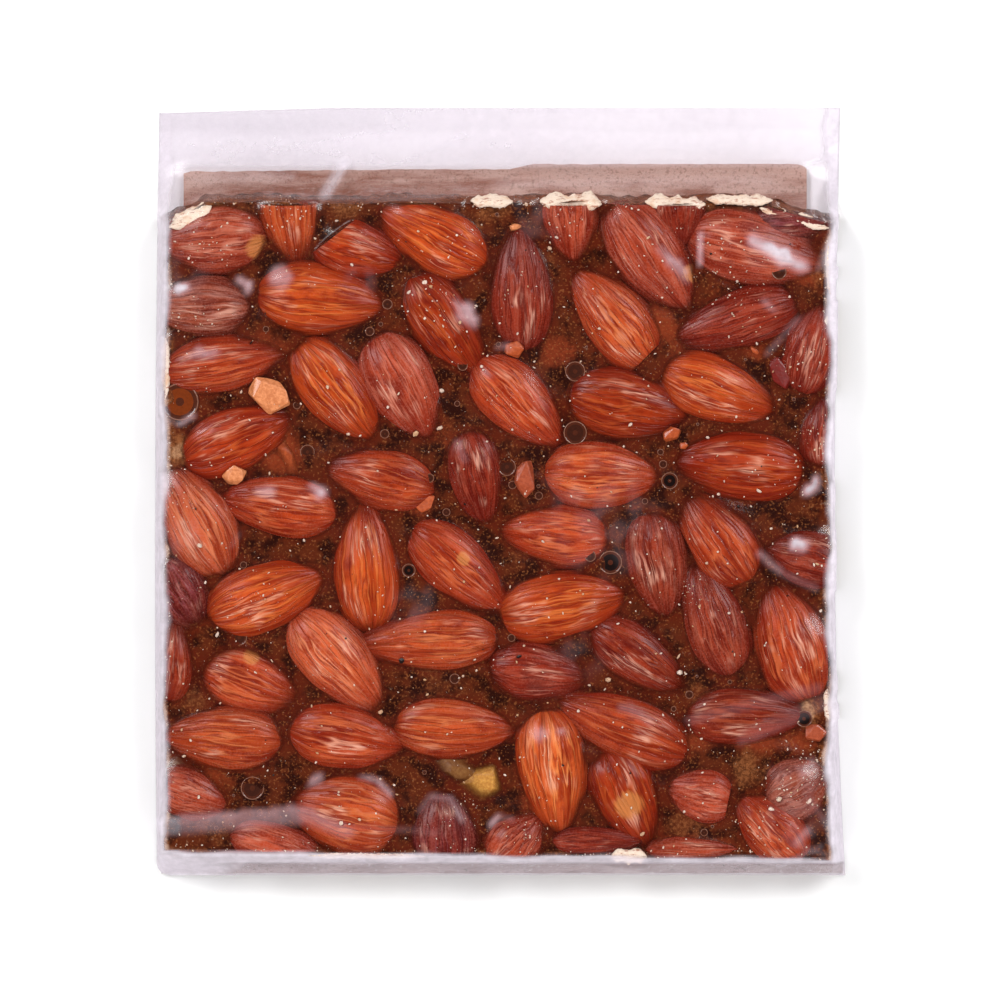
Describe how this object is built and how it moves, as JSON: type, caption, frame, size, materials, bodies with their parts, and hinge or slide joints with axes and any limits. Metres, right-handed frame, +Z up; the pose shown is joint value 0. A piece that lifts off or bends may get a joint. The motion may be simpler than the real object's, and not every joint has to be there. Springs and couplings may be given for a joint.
{
  "type": "almond chikki",
  "caption": "Square slab of almond chikki: whole and broken almonds in hard dark jaggery, on a backing card in a tight clear pouch with a flat flap.",
  "frame": {"origin": "middle of the pouch's outline on the surface that it lies on", "axes": "+Y from the slab towards the pouch's flap, +X to the right seen from above, +Z up through the slab's thickness"},
  "size_m": [0.1301, 0.1446, 0.0114],
  "materials": {
    "film": "thin clear film, glossy, faintly milky with small creases",
    "caramel": "hard dark jaggery, glossy, see-through at thin edges, with fine grain and bubbles",
    "almond_skin": "brown almond skin with lengthwise ridges under a thin sugar glaze",
    "almond_flesh": "cut or bare almond, matt cream to tan",
    "card": "matt grey-brown board with a fine grain"
  },
  "bodies": {
    "root": {"sealed_pouch": "film"}
  },
  "joints": []
}
